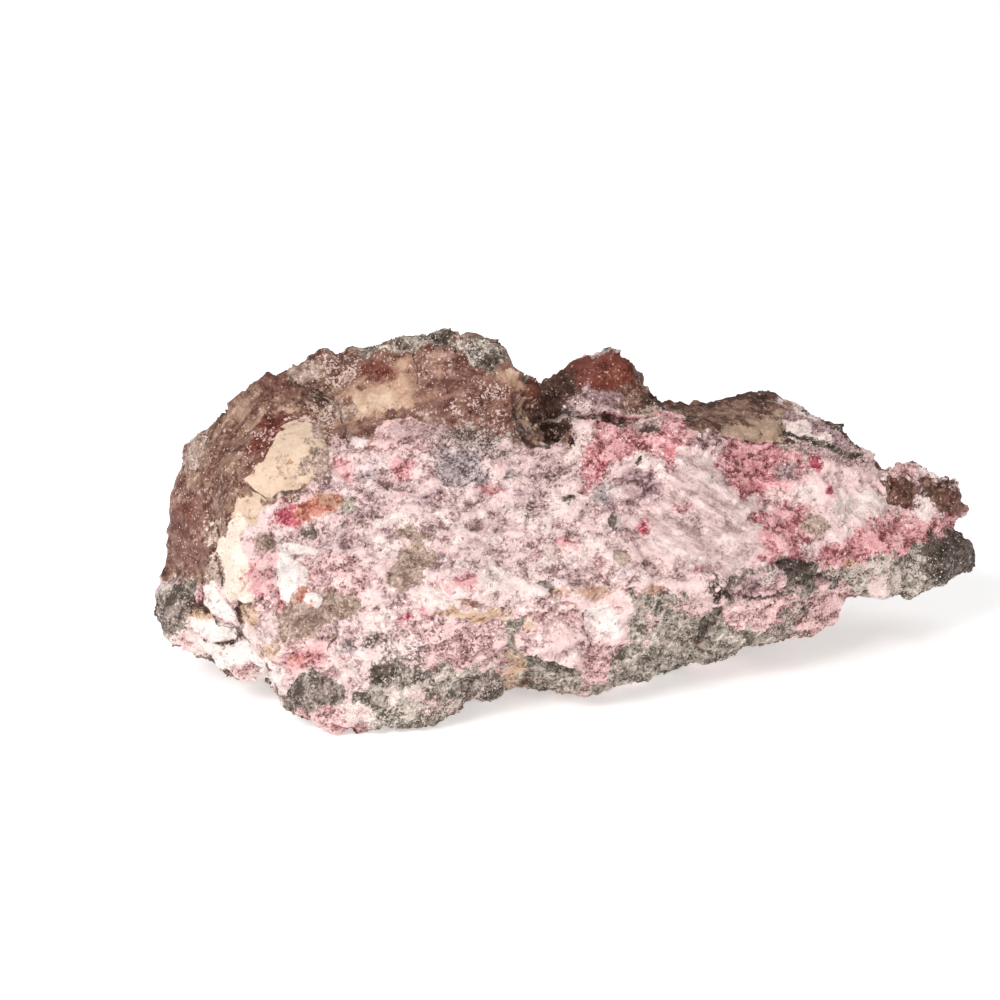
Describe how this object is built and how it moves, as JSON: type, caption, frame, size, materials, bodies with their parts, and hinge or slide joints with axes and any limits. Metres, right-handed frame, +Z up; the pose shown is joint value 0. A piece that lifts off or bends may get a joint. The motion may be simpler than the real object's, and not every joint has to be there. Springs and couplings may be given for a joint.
{
  "type": "erythrite specimen",
  "caption": "Hand specimen of erythrite: a wedge of brown and grey matrix rock with a pink and white crystalline crust over its sloping front.",
  "frame": {"origin": "middle of the specimen's footprint box, at the height of the broken flat that it rests on", "axes": "+X along the specimen from its thick end to its thin toe, +Y from the pink front to the back, +Z up from the resting flat"},
  "size_m": [0.1548, 0.0754, 0.0647],
  "materials": {
    "rock": "dull earthy pink and white crust over brown and grey matrix"
  },
  "bodies": {
    "root": {"erythrite_rock": "rock"}
  },
  "joints": []
}
